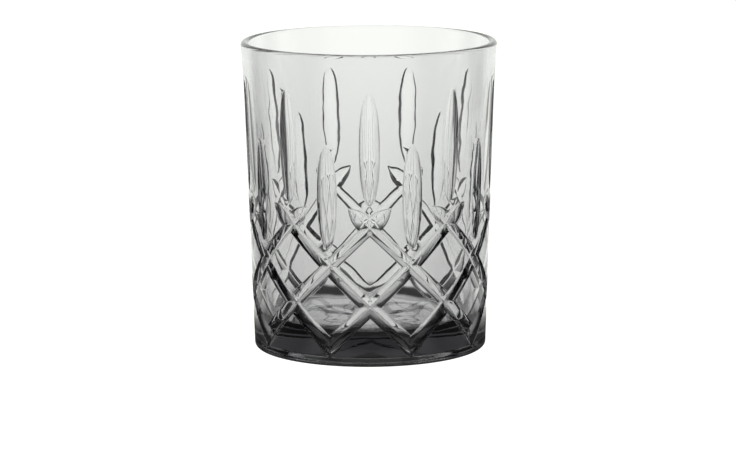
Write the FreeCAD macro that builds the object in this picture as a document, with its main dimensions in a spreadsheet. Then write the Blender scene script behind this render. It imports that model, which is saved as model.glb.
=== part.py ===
import FreeCAD, Part
import math
import os
import Sketcher

# Pressed smoke-glass whiskey tumbler: one piece of glass.
# Frame: origin at the centre of the face it stands on, +Z up along its axis,
# with a long olive of the cut pattern at the front, towards -Y.  Millimetres.

SHEET_CELLS = [
    # overall form
    ("height", 98.0, "table to the top of the lip"),
    ("rim_diameter", 81.2, "widest, at the lip"),
    ("lip_thickness", 2.6, "fully rounded drinking lip"),
    ("flare_diameter", 78.6, "outside, where the straight side ends"),
    ("flare_height", 74.0, "height where the side starts to flare"),
    ("base_diameter", 73.7, "outside of the straight side, carried down to the table"),
    ("heel_rounding", 1.4, "rounding between side and base"),
    # inside and underside
    ("floor_diameter", 62.0, "inside wall, carried down to the floor"),
    ("floor_height", 9.0, "thickness of the base"),
    ("floor_rounding", 4.0, "rounding between inside wall and floor"),
    ("recess_diameter", 54.0, "shallow hollow in the underside"),
    ("recess_depth", 1.5, "depth of that hollow"),
    # cut pattern
    ("repeats", 9, "times the pattern goes round"),
    ("cross_height", 44.0, "top row of groove crossings"),
    ("row_step", 12.5, "drop from one row of crossings to the next"),
    ("groove_rows", 3, "rows of crossings below the top one; the grooves end at the last"),
    ("groove_depth", 1.5, "depth of the diagonal grooves at the top row"),
    ("low_groove_depth", 1.85, "their depth two rows down, and below"),
    ("flank", 1.55, "half width of a groove for each millimetre of its depth"),
    ("leaf_depth", 2.05, "deepest place of the leaf that ends each groove"),
    ("leaf_middle", 2.5, "distance of that place past the top crossing"),
    ("leaf_tip", 9.0, "distance of the leaf's tip past the top crossing"),
    ("olive_depth", 1.6, "depth of the upright olive cuts, half way up"),
    ("olive_width", 6.6, "their width, half way up"),
    ("long_olive_bottom", 51.0, "lower tip of the long olives"),
    ("long_olive_top", 86.5, "upper tip of the long olives"),
    ("short_olive_bottom", 37.2, "lower tip of the short olives"),
    ("short_olive_top", 69.5, "upper tip of the short olives"),
]

# (name, distance from the axis, height above the table); the section's corners
# from the middle of the underside, round the outside, to where the side flares
OUTSIDE_CORNERS = [
    ("hollow_middle", "0", "sizes.recess_depth"),
    ("hollow_edge", "sizes.recess_diameter / 2 - sizes.recess_depth", "sizes.recess_depth"),
    ("foot_inside", "sizes.recess_diameter / 2", "0"),
    ("foot_outside", "sizes.base_diameter / 2", "0"),
    ("flare_start", "sizes.flare_diameter / 2", "sizes.flare_height"),
]
# the same from the inside of the lip down to the middle of the floor
INSIDE_CORNERS = [
    ("lip_inside", "sizes.rim_diameter / 2 - sizes.lip_thickness",
     "sizes.height - sizes.lip_thickness / 2"),
    ("floor_edge", "sizes.floor_diameter / 2", "sizes.floor_height"),
    ("floor_middle", "0", "sizes.floor_height"),
]

CUTTER_MARGIN = 0.8      # how far a cutter stands out of the glass
SECOND_CUT_EXTRA = 0.03  # left-hand grooves are this much deeper, so no two bottoms coincide
PAST_CROSSING = 0.1      # how far a groove runs past its last crossing, inside the other groove
PAST_TIP = 0.6           # the cutter of an olive runs on this far, clear of the glass
OLIVE_SECTIONS = 12      # sections along an olive
GROOVE_SECTIONS = 28     # sections along a groove, up to the top crossing
LEAF_SECTIONS = 10       # sections along its leaf
FRONT = -math.pi / 2     # azimuth of the front of the pattern
TINY = 0.01              # lengths closer than this are the same


def make_sheet(doc):
    """The driving dimensions, one named cell each."""
    sheet = doc.addObject("Spreadsheet::Sheet", "sizes")
    for row, (alias, value, note) in enumerate(SHEET_CELLS, start=1):
        sheet.set("A%d" % row, alias)
        sheet.set("B%d" % row, str(value))
        sheet.set("C%d" % row, note)
        sheet.setAlias("B%d" % row, alias)
    doc.recompute()
    return sheet


def origin_feature(body, role):
    return next(item for item in body.Origin.OriginFeatures if item.Role == role)


def tie(sketch, kind, geometry, end, name, expression):
    """Hold a point at the distance from the axis, or the height, that the sheet gives."""
    if expression == "0":
        axis = -2 if kind == "DistanceX" else -1
        sketch.addConstraint(Sketcher.Constraint("PointOnObject", geometry, end, axis))
        return
    start = sketch.evalExpression(expression)
    index = sketch.addConstraint(Sketcher.Constraint(kind, -1, 1, geometry, end, float(start)))
    sketch.renameConstraint(index, name)
    sketch.setExpression("Constraints." + name, expression)


def draw_corners(sketch, corners):
    """Straight lines from corner to corner; returns the first and last line."""
    first = sketch.GeometryCount
    points = [FreeCAD.Vector(float(sketch.evalExpression(across)),
                             float(sketch.evalExpression(up)), 0)
              for _, across, up in corners]
    for start, end in zip(points, points[1:]):
        sketch.addGeometry(Part.LineSegment(start, end), False)
    last = sketch.GeometryCount - 1
    for line in range(first, last):
        sketch.addConstraint(Sketcher.Constraint("Coincident", line, 2, line + 1, 1))
    for step, (name, across, up) in enumerate(corners):
        line, end = (first + step, 1) if first + step <= last else (last, 2)
        tie(sketch, "DistanceX", line, end, name + "_radius", across)
        tie(sketch, "DistanceY", line, end, name + "_level", up)
    return first, last


def draw_section(sketch, sheet):
    """Half of the tumbler's section: radius across, height up."""
    underside, side = draw_corners(sketch, OUTSIDE_CORNERS)
    inner_wall, floor = draw_corners(sketch, INSIDE_CORNERS)
    lip = sheet.lip_thickness / 2
    lip_centre = FreeCAD.Vector(sheet.rim_diameter / 2 - lip, sheet.height - lip, 0)

    lip_arc = sketch.addGeometry(Part.ArcOfCircle(
        Part.Circle(lip_centre, FreeCAD.Vector(0, 0, 1), lip), 0, math.pi), False)
    tie(sketch, "DistanceX", lip_arc, 3, "lip_centre_radius",
        "(sizes.rim_diameter - sizes.lip_thickness) / 2")
    tie(sketch, "DistanceY", lip_arc, 3, "lip_centre_level",
        "sizes.height - sizes.lip_thickness / 2")
    sketch.addConstraint(Sketcher.Constraint("Horizontal", lip_arc, 3, lip_arc, 1))
    sketch.addConstraint(Sketcher.Constraint("Coincident", lip_arc, 2, inner_wall, 1))

    flare_start = sketch.getPoint(side, 2)
    flare_end = FreeCAD.Vector(sheet.rim_diameter / 2, sheet.height - lip, 0)
    arc = arc_from_tangent(flare_start, flare_start - sketch.getPoint(side, 1), flare_end)
    flare = sketch.addGeometry(arc, False)
    starts_low = (sketch.getPoint(flare, 1) - flare_start).Length < (
        sketch.getPoint(flare, 2) - flare_start).Length
    low, high = (1, 2) if starts_low else (2, 1)
    sketch.addConstraint(Sketcher.Constraint("Tangent", side, 2, flare, low))
    sketch.addConstraint(Sketcher.Constraint("Coincident", flare, high, lip_arc, 1))

    axis = sketch.addGeometry(Part.LineSegment(sketch.getPoint(floor, 2),
                                               sketch.getPoint(underside, 1)), False)
    sketch.addConstraint(Sketcher.Constraint("Coincident", floor, 2, axis, 1))
    sketch.addConstraint(Sketcher.Constraint("Coincident", axis, 2, underside, 1))


def arc_from_tangent(start, direction, end):
    """The arc that leaves start along direction and passes through end."""
    chord = end - start
    normal = FreeCAD.Vector(direction.y, -direction.x, 0).normalize()
    radius = chord.dot(chord) / (2 * chord.dot(normal))
    centre = start + normal * radius
    middle = (start + end) * 0.5 - centre
    return Part.ArcOfCircle(start, centre + middle.normalize() * abs(radius), end)


def outer_radius(sheet, level):
    """Radius of the uncut outside at a height above the table."""
    start = FreeCAD.Vector(sheet.flare_diameter / 2, sheet.flare_height, 0)
    foot = FreeCAD.Vector(sheet.base_diameter / 2, 0, 0)
    slope = (start.x - foot.x) / start.y
    if level <= start.y:
        return foot.x + slope * level
    end = FreeCAD.Vector(sheet.rim_diameter / 2, sheet.height - sheet.lip_thickness / 2, 0)
    chord = end - start
    normal = FreeCAD.Vector(1, -slope, 0).normalize()
    radius = chord.dot(chord) / (2 * chord.dot(normal))
    centre = start + normal * radius
    return centre.x - math.sqrt(radius ** 2 - (level - centre.y) ** 2)


def spread(start, end, steps):
    """Evenly spaced places, both ends among them."""
    return [start + (end - start) * step / steps for step in range(steps + 1)]


def vee_section(surface, out, across, depth, flank):
    """Closed V: its bottom is depth below the surface, its mouth a little above it."""
    half = (depth + CUTTER_MARGIN) * flank
    bottom = surface - out * depth
    left = surface + out * CUTTER_MARGIN - across * half
    right = surface + out * CUTTER_MARGIN + across * half
    return Part.makePolygon([bottom, right, left, bottom])


def round_section(surface, out, across, depth, radius):
    """The same with a round bottom of one radius."""
    half = math.sqrt(radius ** 2 - (radius - depth - CUTTER_MARGIN) ** 2)
    left = surface + out * CUTTER_MARGIN - across * half
    right = surface + out * CUTTER_MARGIN + across * half
    bottom = Part.Arc(left, surface - out * depth, right).toShape()
    return Part.Wire([bottom, Part.makeLine(right, left)])


def olive_cutter(sheet, bottom, top):
    """One upright olive, cut at azimuth 0: a round flute, deepest half way up."""
    half, depth = sheet.olive_width / 2, sheet.olive_depth
    radius = (half ** 2 + depth ** 2) / (2 * depth)
    out = FreeCAD.Vector(1, 0, 0)
    across = FreeCAD.Vector(0, 1, 0)
    sections = []
    for level in spread(bottom - PAST_TIP, top + PAST_TIP, OLIVE_SECTIONS):
        off_middle = (2 * level - bottom - top) / (top - bottom)
        surface = FreeCAD.Vector(outer_radius(sheet, level), 0, level)
        sections.append(round_section(surface, out, across, depth * (1 - off_middle ** 2), radius))
    return Part.makeLoft(sections, True, False)


def groove_depth_at(sheet, place):
    """Depth of a diagonal groove; place is measured along it from the top crossing."""
    climb = sheet.row_step / groove_length(sheet)
    sunk = min(max(-place * climb / (2 * sheet.row_step), 0), 1)
    plain = sheet.groove_depth + (sheet.low_groove_depth - sheet.groove_depth) * sunk
    past = max(place, 0) / sheet.leaf_tip
    off_middle = (place - sheet.leaf_middle) / (sheet.leaf_tip - sheet.leaf_middle)
    return max(plain * (1 - past ** 2), sheet.leaf_depth * (1 - off_middle ** 2))


def groove_length(sheet):
    """Length of a groove from one crossing to the next."""
    return math.hypot(math.pi / sheet.repeats * sheet.base_diameter / 2, sheet.row_step)


def groove_cutter(sheet, hand):
    """One diagonal groove through the top crossing at azimuth 0; hand is 1 or -1."""
    half_pitch = math.pi / sheet.repeats
    length = groove_length(sheet)
    climb = sheet.row_step / length
    extra = SECOND_CUT_EXTRA if hand < 0 else 0
    places = spread(-sheet.groove_rows * length - PAST_CROSSING, 0, GROOVE_SECTIONS)
    places += spread(0, sheet.leaf_tip, LEAF_SECTIONS)[1:]
    sections = []
    for place in places:
        level = sheet.cross_height + place * climb
        azimuth = hand * place / length * half_pitch
        radius = outer_radius(sheet, level)
        out = FreeCAD.Vector(math.cos(azimuth), math.sin(azimuth), 0)
        around = FreeCAD.Vector(-out.y, out.x, 0)
        along = around * (radius * hand * half_pitch / length) + FreeCAD.Vector(0, 0, climb)
        across = along.normalize().cross(out)
        surface = out * radius + FreeCAD.Vector(0, 0, level)
        depth = groove_depth_at(sheet, place) + extra
        sections.append(vee_section(surface, out, across, depth, sheet.flank))
    return Part.makeLoft(sections, True, False)


def add_ring(doc, sheet, name, cutter, offset):
    """The cutter repeated round the glass, as one document object; offset in half pitches."""
    ring = []
    for turn in range(int(sheet.repeats)):
        copy = cutter.copy()
        azimuth = FRONT + (2 * turn + offset) * math.pi / sheet.repeats
        copy.rotate(FreeCAD.Vector(0, 0, 0), FreeCAD.Vector(0, 0, 1), math.degrees(azimuth))
        ring.append(copy)
    feature = doc.addObject("Part::Feature", name)
    feature.Shape = Part.makeCompound(ring)
    return feature


def circle_at(shape, radius, level):
    """Name of the circular edge with this radius at this height."""
    for number, edge in enumerate(shape.Edges, start=1):
        curve = edge.Curve
        if curve.TypeId != "Part::GeomCircle" or abs(abs(curve.Axis.z) - 1) > TINY:
            continue
        if abs(curve.Radius - radius) < TINY and abs(curve.Center.z - level) < TINY:
            return "Edge%d" % number
    raise RuntimeError("no circle of radius %.2f at %.2f" % (radius, level))


def add_rounding(body, name, base, radius, level, size):
    """Round one circular edge of the body by the sheet's size."""
    fillet = body.newObject("PartDesign::Fillet", name)
    fillet.Base = (base, [circle_at(base.Shape, radius, level)])
    fillet.setExpression("Radius", size)
    body.Document.recompute()
    return fillet


def add_blank(doc, sheet):
    """The pressed glass before its pattern is cut."""
    body = doc.addObject("PartDesign::Body", "blank")
    section = body.newObject("Sketcher::SketchObject", "section")
    section.AttachmentSupport = [(origin_feature(body, "XZ_Plane"), "")]
    section.MapMode = "FlatFace"
    draw_section(section, sheet)
    doc.recompute()
    turned = body.newObject("PartDesign::Revolution", "turned")
    turned.Profile = section
    turned.ReferenceAxis = (section, ["V_Axis"])
    turned.Angle = 360
    doc.recompute()
    heel = add_rounding(body, "heel", turned, sheet.base_diameter / 2, 0, "sizes.heel_rounding")
    add_rounding(body, "floor_corner", heel, sheet.floor_diameter / 2, sheet.floor_height,
                 "sizes.floor_rounding")
    return body


def add_cut(doc, name, base, tool):
    """Cut the tool away from the base; a cut that takes nothing is an error."""
    cut = doc.addObject("Part::Cut", name)
    cut.Base = base
    cut.Tool = tool
    doc.recompute()
    if cut.Shape.Volume > base.Shape.Volume - 1:
        raise RuntimeError(name + " cut nothing")
    return cut


def check(doc, piece):
    """Stop before anything is written if an object failed or the glass isn't one good solid."""
    for item in doc.Objects:
        if "Invalid" in item.State or "Error" in item.State:
            raise RuntimeError(item.Name + " failed: " + ", ".join(item.State))
    shape = piece.Shape
    if shape.isNull() or not shape.isValid() or len(shape.Solids) != 1:
        raise RuntimeError(piece.Label + " isn't one valid solid")


def main():
    doc = FreeCAD.newDocument("tumbler")
    sheet = make_sheet(doc)
    glass = add_blank(doc, sheet)

    long_olive = olive_cutter(sheet, sheet.long_olive_bottom, sheet.long_olive_top)
    short_olive = olive_cutter(sheet, sheet.short_olive_bottom, sheet.short_olive_top)
    rings = [
        add_ring(doc, sheet, "long_olives", long_olive, 0),
        add_ring(doc, sheet, "short_olives", short_olive, 1),
        add_ring(doc, sheet, "right_hand_grooves", groove_cutter(sheet, 1), 0),
        add_ring(doc, sheet, "left_hand_grooves", groove_cutter(sheet, -1), 0),
    ]
    for ring in rings:
        glass = add_cut(doc, "glass_with_" + ring.Name, glass, ring)
    glass.Label = "tumbler"

    check(doc, glass)
    os.makedirs("parts", exist_ok=True)
    glass.Shape.exportStep("parts/" + glass.Label + ".step")
    print("%s: %.1f cm3" % (glass.Label, glass.Shape.Volume / 1000))


main()
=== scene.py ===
import math

import bpy
import numpy as np
from mathutils import Matrix, Vector
from mathutils.geometry import delaunay_2d_cdt


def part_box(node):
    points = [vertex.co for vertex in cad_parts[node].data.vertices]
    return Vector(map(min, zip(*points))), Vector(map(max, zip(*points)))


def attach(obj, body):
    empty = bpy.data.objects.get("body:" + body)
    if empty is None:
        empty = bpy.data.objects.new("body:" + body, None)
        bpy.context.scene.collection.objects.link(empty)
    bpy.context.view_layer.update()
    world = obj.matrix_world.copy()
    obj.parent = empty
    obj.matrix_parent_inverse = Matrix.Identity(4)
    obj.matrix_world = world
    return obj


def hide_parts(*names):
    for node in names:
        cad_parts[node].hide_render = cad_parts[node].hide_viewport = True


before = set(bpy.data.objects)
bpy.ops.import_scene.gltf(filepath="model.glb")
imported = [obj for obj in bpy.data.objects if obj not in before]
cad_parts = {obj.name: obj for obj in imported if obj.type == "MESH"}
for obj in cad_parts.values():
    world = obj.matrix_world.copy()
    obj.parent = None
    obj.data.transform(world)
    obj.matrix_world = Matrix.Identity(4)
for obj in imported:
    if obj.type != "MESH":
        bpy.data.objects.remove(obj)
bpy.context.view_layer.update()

# Whiskey tumbler of smoke-grey pressed glass, as one piece. Lengths are in millimetres, and
# MM turns them into metres. Angles run round the glass from its front (-Y), where a long
# olive stands. Unlike the CAD solid, this one has soft edges, a small shoulder inside the
# outline of every cut, and glass that is a little uneven.

_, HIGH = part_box("tumbler")
MM = 0.001

# ---- the glass ----------------------------------------------------------------------
HEIGHT = HIGH.z / MM
RIM_R = HIGH.x / MM
LIP = 2.6                       # thickness of the rounded lip
FLARE_R = 39.3                  # outside, where the straight side ends and the flare begins
FLARE_Z = 74.0
BASE_R = 36.85                  # the straight side carried down to the table
HEEL = 1.4                      # rounding round the foot
FLOOR_R = 31.0                  # the inside wall carried down to the floor
FLOOR_Z = 9.0
CORNER = 4.0                    # rounding between inside wall and floor
HOLLOW_R = 27.0                 # shallow hollow in the underside
HOLLOW_D = 1.5

# ---- its cut pattern ----------------------------------------------------------------
REPEATS = 9
PITCH = 2 * math.pi / REPEATS
CROSS_Z = 44.0                  # top row of groove crossings
STEP = 12.5                     # drop from one row to the next
LAST_ROW = 3                    # the grooves end where they meet in this row
GROOVE_D = 1.05                 # depth at the top row, before the shoulder is added
LOW_GROOVE_D = 1.4              # the same two rows down, and below
GROOVE_M = 0.58                 # rise of a groove's side for each millimetre aside
LEAF_D = 1.65                   # deepest place of the leaf that ends each groove
LEAF_MID = 2.5                  # distance of that place past the top crossing
LEAF_TIP = 9.0                  # distance of the leaf's tip past the top crossing
OLIVE_D = 1.2                   # depth of an olive half way up, before the shoulder is added
OLIVE_W = 3.2                   # its half width there
OLIVE_ROUND = 0.96              # share of its radius that is round
OLIVE_BANK = 2.0                # slope beyond that
LONG_OLIVE = (51.0, 86.5)       # bottom and top
SHORT_OLIVE = (37.2, 69.5)      # these stand half a pitch further round
OLIVE_SHOULDER = (0.6, 0.18)    # steep shoulder just inside an outline: size, run
GROOVE_SHOULDER = (0.65, 0.18)
EDGE_SOFT = 0.08                # how softly a cut meets the wall,
BOTTOM_SOFT = 0.45              # the sides of a groove meet each other,
MITRE_SOFT = 0.25               # and one cut meets another
UNCUT = -1.0                    # depth that stands for no cut at all

# ---- its unevenness -----------------------------------------------------------------
WALL_RIPPLE = (0.03, 40, 3)     # size, shortest wave as turns round the glass, seed
BOWL_RIPPLE = (0.35, 11, 5)
WAVES = 12
WAVE_LEAN = 2.4                 # radians that set one wave's direction apart from the next,
WAVE_START = 1.7                # and its starting place
WALL_SHARE = 0.05               # part of the bowl's unevenness in its upper wall,
FLOOR_SHARE = 0.4               # and in the middle of its floor
UNEVEN_Z = (20.0, 32.0)         # all of it below the first height, WALL_SHARE above the second
UNEVEN_R = (12.0, 23.0, 27.0)   # FLOOR_SHARE from the first radius, all of it from the last
EVEN_LIP = 15.0                 # height over which the bowl's fades out below the lip,
EVEN_TOP = 12.0                 # the outside's fades out below the lip,
EVEN_HEEL = 6.0                 # and the outside's fades out above the heel

SLANT = math.hypot(PITCH / 2 * BASE_R, STEP)    # along a groove, from row to row
CLIMB = STEP / SLANT
LEAN = math.sqrt(1 - CLIMB ** 2)
OLIVE_R = (OLIVE_W ** 2 + OLIVE_D ** 2) / (2 * OLIVE_D)
SIDE_SLOPE = (FLARE_R - BASE_R) / FLARE_Z
LIP_Z = HEIGHT - LIP / 2

# ---- the mesh -----------------------------------------------------------------------
COLUMNS = 16                    # of the smooth surfaces, in half a pitch
FLAT_R = 38.0                   # radius at which half a pitch is laid out flat
ROW = 1.1                       # spacing of points along a groove
FIELD = 2.2                     # spacing of points on the plain wall
FIELD_ROOM = (0.5, 1.0)         # these keep this far from the side and the top
BORDER_ROWS = 90                # steps up each mirror plane
OLIVE_ROWS = 43                 # and up each olive
PAST_LAST = 3.2                 # the lines of a groove run on this far past the last row
OUTLINE_GAPS = (-0.16, -0.05, 0.03, 0.1, 0.2, 0.45)     # lines beside an outline, inwards
OLIVE_GAPS = OUTLINE_GAPS + (0.9, 1.5, 2.2)
BOTTOM_GAP = 0.12               # lines beside the bottom of a groove
BUDGET = 4250                   # points in half a pitch
ROUNDS = 6                      # of adding points where the mesh misses the surface
FEWEST = 60                     # points added in a round, if there are as many places
MISS = 0.006                    # a smaller miss is let be
MERGE = 0.012                   # points nearer than this are one
SNAP = 0.02                     # points nearer than this to a mirror plane lie on it
NORMAL_STEP = 0.004             # distance over which the outside's normals are measured
LIP_RINGS = 17
WALL_RINGS = (10, 17)           # above and below WALL_SPLIT of the way down the inside
WALL_SPLIT = 0.75
CORNER_RINGS = 15
FLOOR_RINGS = 10
UNDER_RINGS = (4.0, 10.0, 17.0, 23.0)           # radii in the hollow
HOLLOW_RINGS = 9
HEEL_RINGS = 8

# ---- glass and studio ---------------------------------------------------------------
GLASS_INDEX = 1.52
GLASS_COLOUR = (0.01, 0.0, 0.041, 1)
GLASS_DENSITY = 52.5            # for each metre
TINT = (1.0, 1.022, 0.979, 1)
FLOOR_COLOUR = (0.1, 0.1, 0.1, 1)
FLOOR_SIZE = 3000.0             # half the side of the floor
WHITE = 1.1                     # floor and backdrop as the camera sees them
# Each of these gives brightness against degrees or millimetres. AROUND runs round the glass
# from straight behind it (+Y), positive to +X; ABOVE is the elevation.
AROUND = (
    (-180, 0.5), (-145, 0.5), (-128, 0.03), (-108, 0.03), (-99, 0.7), (-81, 0.7), (-74, 0.03),
    (-58, 0.03), (-50, 0.6), (-42, 1.1), (0, 1.13), (46, 1.1), (54, 0.6), (62, 0.03),
    (74, 0.03), (81, 0.7), (99, 0.7), (108, 0.03), (128, 0.03), (145, 0.5), (180, 0.5))
ABOVE = ((-90, 1.0), (18, 1.0), (36, 0.3), (50, 0.06), (90, 0.06))
# The floor beside the glass: by degrees from +Y either way, times the place along X.
BESIDE = ((0, 1.1), (66, 1.1), (88, 0.05), (180, 0.05))
TABLE = ((-250, 0.0), (-140, 0.0), (-95, 1.0), (230, 1.0), (290, 0.0), (400, 0.0))
# A dim strip across the floor in front of the glass, by the place along Y.
STRIP = ((-400, 1.0), (-160, 1.0), (-115, 0.05), (-62, 0.05), (-48, 1.0), (400, 1.0))
# Painted light and shade on the floor, seen only in the glass: a painted pool of light under the
# glass and a painted shadow ring round its foot, by distance from a centre set behind the axis
# by the next constant.
PAINTED_POOL_AND_SHADOW = ((0, 0.95), (22, 0.95), (30, 0.05), (44, 0.05), (72, 1.0), (110, 1.0))
PAINTED_CENTRE_BACK = 14.0

# ---- the camera ---------------------------------------------------------------------
DISTANCE = 1100.0               # from the point it looks at, on the axis
TARGET_Z = 38.6                 # height of that point
ELEVATION = 9.95                # degrees
ROLL = 0.29
SENSOR = 36.0
LENS = 168.78
SHIFT = (-0.0023, -0.0003)      # as shares of the picture's width
FARTHEST = 50000.0


# ---- the shape of the outside -------------------------------------------------------

def flare_arc():
    """Centre and radius of the arc from the straight side to the lip."""
    chord = np.array([RIM_R - FLARE_R, LIP_Z - FLARE_Z])
    normal = np.array([1.0, -SIDE_SLOPE]) / math.hypot(1, SIDE_SLOPE)
    radius = chord @ chord / (2 * chord @ normal)
    return np.array([FLARE_R, FLARE_Z]) + normal * radius, radius


FLARE_C, FLARE_ARC_R = flare_arc()


def wall_line(z):
    """Radius of the uncut outside."""
    arc = FLARE_C[0] - np.sqrt(FLARE_ARC_R ** 2 - (np.maximum(z, FLARE_Z) - FLARE_C[1]) ** 2)
    return np.where(z <= FLARE_Z, BASE_R + SIDE_SLOPE * z, arc)


def share(value, start, end):
    """0 up to start, 1 from end on, and even between them."""
    return np.clip((value - start) / (end - start), 0, 1)


def soft_max(a, b, soft):
    """The larger of two, with a rounded change from one to the other."""
    near = np.maximum(soft - np.abs(a - b), 0) / soft
    return np.maximum(a, b) + near * near * soft / 4


def soft_abs(a, soft):
    """The size of a number, with a rounded bottom."""
    a = np.abs(a)
    return np.where(a < soft, a * a / (2 * soft) + soft / 2, a)


def olive_middle(z, bottom, top):
    """Depth along the middle of an olive: a parabola from tip to tip."""
    return OLIVE_D * (1 - ((2 * z - top - bottom) / (top - bottom)) ** 2)


def olive_depth(z, aside, bottom, top):
    """A round flute, deepest half way up."""
    aside = np.abs(aside)
    inside = np.minimum(aside, OLIVE_R * OLIVE_ROUND)
    rise = OLIVE_R - np.sqrt(OLIVE_R ** 2 - inside ** 2) + OLIVE_BANK * (aside - inside)
    return olive_middle(z, bottom, top) - rise


def groove_bottom(place):
    """Depths of groove and leaf along their bottom, measured from the top crossing."""
    sunk = np.clip(-place * CLIMB / (2 * STEP), 0, 1)
    plain = GROOVE_D + (LOW_GROOVE_D - GROOVE_D) * sunk
    plain = plain * (1 - (np.maximum(place, 0) / LEAF_TIP) ** 2)
    leaf = LEAF_D * (1 - ((place - LEAF_MID) / (LEAF_TIP - LEAF_MID)) ** 2)
    return plain, leaf


def groove_depth(angle, z, hand):
    """Depth of the grooves that climb one way, and how far along them the place is."""
    turn = angle / PITCH - hand * (z - CROSS_Z) / STEP / 2
    aside = ((turn + 0.5) % 1.0 - 0.5) * PITCH * wall_line(z) * CLIMB
    place = (z + aside * hand * LEAN - CROSS_Z) / CLIMB
    plain, leaf = groove_bottom(place)
    side = GROOVE_M * soft_abs(aside, BOTTOM_SOFT)
    return soft_max(plain - side, leaf - side, MITRE_SOFT), place


def shoulder(depth, size, run):
    """A cut with a steep shoulder just inside its outline."""
    return depth + size * (1 - np.exp(-np.maximum(depth, 0) / run))


def cut_depth(angle, z):
    """Depth of the whole pattern under the uncut outside."""
    depth = np.full_like(z, UNCUT)
    for offset, (bottom, top) in ((0, LONG_OLIVE), (0.5, SHORT_OLIVE)):
        turn = (angle / PITCH - offset + 0.5) % 1.0 - 0.5
        olive = olive_depth(z, turn * PITCH * wall_line(z), bottom, top)
        depth = soft_max(depth, shoulder(olive, *OLIVE_SHOULDER), MITRE_SOFT)
    right, left = groove_depth(angle, z, 1), groove_depth(angle, z, -1)
    last = -LAST_ROW * STEP / CLIMB
    for (cut, place), (other, _) in ((right, left), (left, right)):
        ended = np.where(place < last, np.minimum(cut, other), cut)
        depth = soft_max(depth, shoulder(ended, *GROOVE_SHOULDER), MITRE_SOFT)
    return soft_max(depth, np.zeros_like(depth), EDGE_SOFT)


def ripple(angle, z, size, shortest, seed):
    """Unevenness of pressed glass, about size high: waves in many directions, the shorter the lower."""
    total = np.zeros_like(z)
    for wave in range(1, WAVES + 1):
        turns = round(2 + (shortest - 2) * (wave / WAVES) ** 1.5)
        climb = turns / FLAT_R * math.sin(WAVE_LEAN * wave * seed)
        start = WAVE_START * wave * wave * seed
        total = total + np.sin(turns * angle + climb * z + start) / math.sqrt(wave)
    return size * total / 3


def on_axis(angle, r, z):
    """Points from angle round the glass, radius and height, in metres."""
    azimuth = angle - math.pi / 2
    return np.stack([r * np.cos(azimuth), r * np.sin(azimuth), z], -1) * MM


def outside_point(angle, z):
    """Points of the finished outside."""
    fade = (1 - share(z, LIP_Z - EVEN_TOP, LIP_Z)) * share(z, HEEL, HEEL + EVEN_HEEL)
    r = wall_line(z) - cut_depth(angle, z) + ripple(angle, z, *WALL_RIPPLE) * fade
    return on_axis(angle, r, z)


def outside_normal(angle, z):
    """Its normals, from points a little higher, lower and to both sides."""
    turn = NORMAL_STEP / FLAT_R
    up = outside_point(angle, z + NORMAL_STEP) - outside_point(angle, z - NORMAL_STEP)
    around = outside_point(angle + turn, z) - outside_point(angle - turn, z)
    normal = np.cross(around, up)
    return normal / np.linalg.norm(normal, axis=1, keepdims=True)


# ---- points and edges of half a pitch, laid out flat --------------------------------

def along_groove(hand, turn, places, offset):
    """A line beside one groove: its places along the groove, and its offset at each."""
    angle = hand * places / SLANT * PITCH / 2
    z = CROSS_Z + places * CLIMB
    x = (angle + offset * CLIMB / wall_line(z)) * FLAT_R + turn * PITCH * FLAT_R
    return np.stack([x, z - hand * offset * LEAN], 1)


def groove_lines():
    """Lines along the bottom and the mouth of every groove that crosses the half pitch."""
    first = -LAST_ROW * SLANT - PAST_LAST
    places = np.linspace(first, LEAF_TIP, math.ceil((LEAF_TIP - first) / ROW) + 1)
    mouth = np.maximum(np.maximum(*groove_bottom(places)), 0) / GROOVE_M
    offsets = [np.full_like(places, offset) for offset in (0.0, -BOTTOM_GAP, BOTTOM_GAP)]
    for side in (-1, 1):
        offsets += [side * np.maximum(mouth - gap, BOTTOM_GAP) for gap in OUTLINE_GAPS]
    lines = []
    for hand in (1, -1):
        for turn in range(-LAST_ROW, LAST_ROW + 1):
            lines += [along_groove(hand, turn, places, offset) for offset in offsets]
    return lines


def olive_lines():
    """Lines inside and just outside the outlines of both olives."""
    lines = []
    fewest = 3
    for centre, (bottom, top) in ((0.0, LONG_OLIVE), (PITCH / 2, SHORT_OLIVE)):
        rows = np.linspace(0, math.pi, OLIVE_ROWS + 1)
        z = bottom + (top - bottom) * (1 - np.cos(rows)) / 2
        deep = olive_middle(z, bottom, top)
        half = np.sqrt(np.maximum(OLIVE_R ** 2 - (OLIVE_R - deep) ** 2, 0))
        for side in (-1, 1):
            for gap in OLIVE_GAPS:
                keep = half - gap > SNAP
                if keep.sum() >= fewest:
                    x = (centre + side * (half[keep] - gap) / wall_line(z[keep])) * FLAT_R
                    lines.append(np.stack([x, z[keep]], 1))
    return lines


def clip_lines(lines, width, low, high):
    """The parts of the lines inside the half pitch, with points where they cross its border."""
    points, edges = [], []
    shortest = 1e-6
    for line in lines:
        for start, end in zip(line[:-1], line[1:]):
            enter, leave = 0.0, 1.0
            run = end - start
            for axis, (least, most) in enumerate(((0.0, width), (low, high))):
                if abs(run[axis]) < 1e-12:
                    if not least <= start[axis] <= most:
                        enter, leave = 1.0, 0.0
                    continue
                one, other = sorted(((least - start[axis]) / run[axis], (most - start[axis]) / run[axis]))
                enter, leave = max(enter, one), min(leave, other)
            if leave - enter >= shortest:
                edges.append((len(points), len(points) + 1))
                points += [start + run * enter, start + run * leave]
    return points, edges


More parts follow.
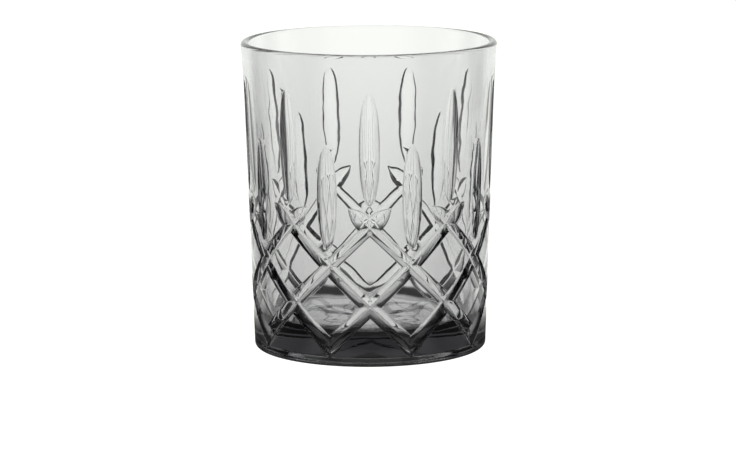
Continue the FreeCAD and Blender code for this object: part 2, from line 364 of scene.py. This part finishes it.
def plain_points(width, low, high):
    """Points up both mirror planes, along the top and the bottom, and over the plain wall."""
    points = []
    for z in np.arange(low, high + 0.01, (high - low) / BORDER_ROWS):
        points += [(0.0, z), (width, z)]
    for x in np.linspace(0, width, COLUMNS + 1):
        points += [(x, low), (x, high)]
    side_room, top_room = FIELD_ROOM
    for row, z in enumerate(np.arange(low + FIELD, high - top_room, FIELD)):
        for x in np.arange(FIELD * (0.5 + 0.5 * (row % 2)), width - side_room, FIELD):
            points.append((x, z))
    return points


def half_pitch():
    """Points and triangles over half a pitch of the outside, laid out flat."""
    width = PITCH / 2 * FLAT_R
    points, edges = clip_lines(groove_lines() + olive_lines(), width, HEEL, LIP_Z)
    points = np.array(points + plain_points(width, HEEL, LIP_Z))
    for _ in range(ROUNDS):
        places, triangles = triangulate(points, edges, width)
        if len(places) > BUDGET:
            break
        extra = worst_places(places, triangles, width, BUDGET - len(places))
        if not len(extra):
            break
        points = np.concatenate([points, extra])
    return places, triangles


def snap_sides(places, width, near):
    """Moves places that lie beside a mirror plane onto it."""
    for side in (0.0, width):
        places[np.abs(places[:, 0] - side) < near, 0] = side


def triangulate(points, edges, width):
    """Triangles between the points that keep the edges, all facing the same way."""
    flat = points.copy()
    snap_sides(flat, width, SNAP)
    result = delaunay_2d_cdt([Vector(point) for point in flat], edges, [], 0, MERGE)
    places = np.array([tuple(place) for place in result[0]])
    triangles = np.array([tuple(face) for face in result[2]])
    snap_sides(places, width, 0.75 * SNAP)
    for z in (HEEL, LIP_Z):
        places[np.abs(places[:, 1] - z) < 0.001, 1] = z
    a, b, c = (places[triangles[:, corner]] for corner in range(3))
    area = (b[:, 0] - a[:, 0]) * (c[:, 1] - a[:, 1]) - (b[:, 1] - a[:, 1]) * (c[:, 0] - a[:, 0])
    triangles[area < 0] = triangles[area < 0][:, ::-1]
    return places, triangles[np.abs(area) > 1e-9]


def worst_places(places, triangles, width, room):
    """Places where the flat triangles miss the surface most."""
    level = cut_depth(places[:, 0] / FLAT_R, places[:, 1])
    weights = np.array([(1, 1, 1), (4, 1, 1), (1, 4, 1), (1, 1, 4), (2, 2, 0.2), (2, 0.2, 2), (0.2, 2, 2)])
    weights = weights / weights.sum(1, keepdims=True)
    worst = np.zeros(len(triangles))
    where = np.zeros((len(triangles), 2))
    for weight in weights:
        place = sum(places[triangles[:, corner]] * weight[corner] for corner in range(3))
        flat = sum(level[triangles[:, corner]] * weight[corner] for corner in range(3))
        miss = np.abs(cut_depth(place[:, 0] / FLAT_R, place[:, 1]) - flat)
        larger = miss > worst
        worst[larger] = miss[larger]
        where[larger] = place[larger]
    order = np.argsort(-worst)[:max(room // 2, FEWEST)]
    order = order[worst[order] > MISS]
    clear = 5 * SNAP
    inside = (where[order, 0] > clear) & (where[order, 0] < width - clear)
    return where[order][inside]


# ---- the smooth surfaces, as rings of (radius, height, normal across, normal up) ----

def lip_rings():
    """The round lip, from outside to inside."""
    lip_c = RIM_R - LIP / 2
    return [(lip_c + LIP / 2 * math.cos(a), LIP_Z + LIP / 2 * math.sin(a), math.cos(a), math.sin(a))
            for a in np.linspace(0, math.pi, LIP_RINGS)]


def bowl_rings():
    """The inside, from the lip down and along the floor to near the axis."""
    top = np.array([RIM_R - LIP, LIP_Z])
    foot = np.array([FLOOR_R, FLOOR_Z])
    along = (foot - top) / np.linalg.norm(foot - top)
    inward = np.array([along[1], -along[0]])
    turn = math.acos(abs(along[0]))
    start = foot - along * CORNER * math.tan(turn / 2)
    centre = start + inward * CORNER
    upper = np.linspace(0, WALL_SPLIT, WALL_RINGS[0] + 1)[1:]
    lower = np.linspace(WALL_SPLIT, 1, WALL_RINGS[1] + 1)[1:]
    rings = [tuple(top + (start - top) * down) + tuple(inward) for down in np.concatenate([upper, lower])]
    first = math.atan2(-inward[1], -inward[0])
    for a in np.linspace(first, -math.pi / 2, CORNER_RINGS + 1)[1:]:
        across, up = math.cos(a), math.sin(a)
        rings.append((centre[0] + CORNER * across, centre[1] + CORNER * up, -across, -up))
    for r in np.linspace(centre[0], 0, FLOOR_RINGS + 2)[1:-1]:
        rings.append((r, FLOOR_Z, 0.0, 1.0))
    return rings


def under_rings():
    """The underside, from near the axis out to the heel and up to the wall. Its hollow ends in an S."""
    rings = [(r, HOLLOW_D, 0.0, -1.0) for r in UNDER_RINGS]
    for t in np.linspace(0, 1, HOLLOW_RINGS):
        r = HOLLOW_R - 2 * HOLLOW_D + 2 * HOLLOW_D * t
        rise = HOLLOW_D * (0.5 + 0.5 * math.cos(math.pi * t))
        lean = math.pi * math.sin(math.pi * t) / 4
        size = math.hypot(1, lean)
        rings.append((r, rise, -lean / size, -1 / size))
    heel_c = wall_line(np.array(HEEL)) - HEEL
    rings.append(((HOLLOW_R + heel_c) / 2, 0.0, 0.0, -1.0))
    for a in np.linspace(0, math.pi / 2, HEEL_RINGS):
        rings.append((heel_c + HEEL * math.sin(a), HEEL - HEEL * math.cos(a), math.sin(a), -math.cos(a)))
    return rings


def bowl_share(r, z):
    """The bowl is most uneven round its floor; the lip and the middle of the floor are even."""
    wall = WALL_SHARE + (1 - WALL_SHARE) * (1 - share(z, *UNEVEN_Z))
    floor = FLOOR_SHARE * share(r, 0, UNEVEN_R[0]) + (1 - FLOOR_SHARE) * share(r, *UNEVEN_R[1:])
    return wall * floor * (1 - share(z, LIP_Z - EVEN_LIP, LIP_Z))


class Glass:
    """Gathers points, normals and faces of the one piece."""

    def __init__(self):
        self.points, self.normals, self.faces = [], [], []
        self.found = {}

    def add(self, points, normals):
        """Index of each point; points that coincide are one."""
        index = np.empty(len(points), int)
        for k, key in enumerate(map(tuple, np.round(points * 1e7).astype(np.int64))):
            if key not in self.found:
                self.found[key] = len(self.points)
                self.points.append(points[k])
                self.normals.append(normals[k])
            index[k] = self.found[key]
        return index

    def add_faces(self, faces, forward):
        self.faces += (faces if forward else faces[:, ::-1]).tolist()

    def rings(self, rings, rippled=False, closed=True, forward=True):
        """A surface of revolution; its last ring is closed to a point if closed."""
        turns = 2 * REPEATS * COLUMNS
        angle = np.arange(turns) * 2 * math.pi / turns
        r, z, across, up = (np.array(column)[:, None] + 0 * angle for column in zip(*rings))
        if rippled:
            push = ripple(angle, z - r, *BOWL_RIPPLE) * bowl_share(r, z)
            r, z = r + push * across, z + push * up
        spots = on_axis(angle, r, z)
        normals = on_axis(angle, across, up) / MM
        if rippled:
            slopes = np.cross(np.roll(spots, -1, 1) - np.roll(spots, 1, 1), np.gradient(spots, axis=0))
            slopes /= np.linalg.norm(slopes, axis=2, keepdims=True)
            slopes *= np.sign((slopes * normals).sum(2, keepdims=True))
            normals[1:-1] = slopes[1:-1]
        index = [self.add(*ring) for ring in zip(spots, normals)]
        for before, after in zip(index, index[1:]):
            quads = np.stack([before, np.roll(before, -1), np.roll(after, -1), after], 1)
            self.add_faces(quads, forward)
        if closed:
            _, height, _, up = rings[-1]
            centre = self.add(np.array([[0, 0, height * MM]]), np.array([[0, 0, up]]))
            before = index[-1]
            fan = np.stack([before, np.roll(before, -1), np.full(turns, centre[0])], 1)
            self.add_faces(fan, forward)

    def pattern(self):
        """The cut outside: half a pitch, mirrored and repeated."""
        places, triangles = half_pitch()
        z = places[:, 1]
        for turn in range(REPEATS):
            for hand in (1, -1):
                angle = hand * places[:, 0] / FLAT_R + turn * PITCH
                index = self.add(outside_point(angle, z), outside_normal(angle, z))
                self.add_faces(index[triangles], hand > 0)

    def mesh(self, name):
        mesh = bpy.data.meshes.new(name)
        mesh.from_pydata([tuple(point) for point in self.points], [], self.faces)
        mesh.polygons.foreach_set("use_smooth", [True] * len(mesh.polygons))
        mesh.normals_split_custom_set_from_vertices([tuple(normal) for normal in self.normals])
        mesh.update()
        return mesh


# ---- materials, floor, light and camera ---------------------------------------------

class Nodes:
    """Small helpers for a node tree's arithmetic."""

    def __init__(self, tree):
        self.tree = tree

    def add(self, kind):
        return self.tree.nodes.new(kind)

    def link(self, output, socket):
        self.tree.links.new(output, socket)

    def maths(self, operation, a, b=None):
        node = self.add("ShaderNodeMath")
        node.operation = operation
        for socket, value in zip(node.inputs, (a, b)):
            if isinstance(value, (int, float)):
                socket.default_value = value
            elif value is not None:
                self.link(value, socket)
        return node.outputs[0]

    def graph(self, value, points):
        """Brightness read off a curve through the points."""
        low, high = points[0][0], points[-1][0]
        ramp = self.add("ShaderNodeValToRGB")
        ramp.color_ramp.interpolation = "EASE"
        stops = ramp.color_ramp.elements
        while len(stops) < len(points):
            stops.new(0.5)
        for stop, (place, _) in zip(stops, points):
            stop.position = (place - low) / (high - low)
        for stop, (_, bright) in zip(stops, points):
            stop.color = (bright, bright, bright, 1)
        self.link(self.maths("DIVIDE", self.maths("SUBTRACT", value, low), high - low), ramp.inputs[0])
        return ramp.outputs[0]

    def length(self, a, b):
        squares = self.maths("ADD", self.maths("MULTIPLY", a, a), self.maths("MULTIPLY", b, b))
        return self.maths("SQRT", squares)

    def degrees(self, across, along):
        """Angle from the direction of along, in degrees."""
        return self.maths("MULTIPLY", self.maths("ARCTAN2", across, along), 180 / math.pi)

    def unseen(self, bright):
        """bright for the light that reaches the glass, plain white for what shows beside it."""
        path = self.add("ShaderNodeLightPath")
        mix = self.add("ShaderNodeMix")
        self.link(path.outputs["Is Camera Ray"], mix.inputs[0])
        self.link(bright, mix.inputs[2])
        mix.inputs[3].default_value = WHITE
        return mix.outputs[0]


def smoke_glass():
    """Clear grey glass that takes a little of the light for every millimetre it crosses."""
    material = bpy.data.materials.new("smoke_glass")
    material.use_nodes = True
    nodes = Nodes(material.node_tree)
    surface = material.node_tree.nodes["Principled BSDF"]
    surface.inputs["Base Color"].default_value = (1, 1, 1, 1)
    surface.inputs["Transmission Weight"].default_value = 1.0
    surface.inputs["IOR"].default_value = GLASS_INDEX
    surface.inputs["Roughness"].default_value = 0.0
    grey = nodes.add("ShaderNodeVolumeAbsorption")
    grey.inputs["Color"].default_value = GLASS_COLOUR
    grey.inputs["Density"].default_value = GLASS_DENSITY
    nodes.link(grey.outputs["Volume"], material.node_tree.nodes["Material Output"].inputs["Volume"])
    return material


def make_glass():
    glass = Glass()
    lip = lip_rings()
    glass.pattern()
    glass.rings(lip, closed=False)
    glass.rings([lip[-1]] + bowl_rings(), rippled=True)
    glass.rings(under_rings()[::-1], forward=False)
    ob = bpy.data.objects.new("tumbler_glass", glass.mesh("tumbler_glass"))
    bpy.context.collection.objects.link(ob)
    ob.data.materials.append(smoke_glass())
    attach(ob, "root")
    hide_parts("tumbler")


def floor_material():
    """A plain pale floor, whose light on the glass differs from place to place, with a painted pool of
    light under the glass and a painted shadow ring round its foot.
    """
    material = bpy.data.materials.new("floor")
    material.use_nodes = True
    nodes = Nodes(material.node_tree)
    surface = material.node_tree.nodes["Principled BSDF"]
    surface.inputs["Base Color"].default_value = FLOOR_COLOUR
    surface.inputs["Roughness"].default_value = 0.6
    surface.inputs["Specular IOR Level"].default_value = 0.0
    surface.inputs["Emission Color"].default_value = TINT
    place = nodes.add("ShaderNodeNewGeometry")
    split = nodes.add("ShaderNodeSeparateXYZ")
    nodes.link(place.outputs["Position"], split.inputs[0])
    x = nodes.maths("MULTIPLY", split.outputs[0], 1 / MM)
    y = nodes.maths("MULTIPLY", split.outputs[1], 1 / MM)
    azimuth = nodes.degrees(x, y)
    around = nodes.maths("MULTIPLY", nodes.graph(azimuth, AROUND), nodes.graph(y, STRIP))
    aside = nodes.maths("ABSOLUTE", azimuth)
    beside = nodes.maths("MULTIPLY", nodes.graph(aside, BESIDE), nodes.graph(x, TABLE))
    # painted pool of light under the glass and painted shadow ring round its foot, by distance
    near = nodes.graph(nodes.length(x, nodes.maths("SUBTRACT", y, PAINTED_CENTRE_BACK)), PAINTED_POOL_AND_SHADOW)
    # the floor's glow, times that painted light and shade
    floor_glow_with_painted_shade = nodes.maths("MULTIPLY", nodes.maths("MAXIMUM", around, beside), near)
    nodes.link(nodes.unseen(floor_glow_with_painted_shade), surface.inputs["Emission Strength"])
    return material


def make_floor():
    size = FLOOR_SIZE * MM
    corners = [(-size, -size, 0), (size, -size, 0), (size, size, 0), (-size, size, 0)]
    mesh = bpy.data.meshes.new("floor")
    mesh.from_pydata(corners, [], [(0, 1, 2, 3)])
    ob = bpy.data.objects.new("floor", mesh)
    bpy.context.collection.objects.link(ob)
    ob.data.materials.append(floor_material())


def make_world():
    """The studio's walls and ceiling, as a glow from all round."""
    world = bpy.data.worlds.new("studio")
    bpy.context.scene.world = world
    world.use_nodes = True
    nodes = Nodes(world.node_tree)
    place = nodes.add("ShaderNodeTexCoord")
    split = nodes.add("ShaderNodeSeparateXYZ")
    nodes.link(place.outputs["Generated"], split.inputs[0])
    x, y, z = split.outputs
    azimuth = nodes.degrees(x, y)
    elevation = nodes.degrees(z, nodes.length(x, y))
    bright = nodes.maths("MULTIPLY", nodes.graph(azimuth, AROUND), nodes.graph(elevation, ABOVE))
    background = world.node_tree.nodes["Background"]
    background.inputs["Color"].default_value = TINT
    nodes.link(nodes.unseen(bright), background.inputs["Strength"])


def make_camera():
    camera = bpy.data.cameras.new("camera")
    ob = bpy.data.objects.new("camera", camera)
    bpy.context.collection.objects.link(ob)
    rise = math.radians(ELEVATION)
    level = DISTANCE * math.cos(rise)
    ob.location = (0, -level * MM, (TARGET_Z + DISTANCE * math.sin(rise)) * MM)
    tilt = Matrix.Rotation(math.pi / 2 - rise, 4, "X") @ Matrix.Rotation(math.radians(-ROLL), 4, "Z")
    ob.rotation_euler = tilt.to_euler()
    camera.sensor_width = SENSOR
    camera.lens = LENS
    camera.shift_x, camera.shift_y = SHIFT
    camera.clip_end = FARTHEST * MM
    bpy.context.scene.camera = ob


make_glass()
make_floor()
make_world()
make_camera()

scene = bpy.context.scene
scene.view_settings.view_transform = "Standard"
scene.cycles.transmission_bounces = 24
scene.cycles.max_bounces = 32
scene.cycles.glossy_bounces = 16
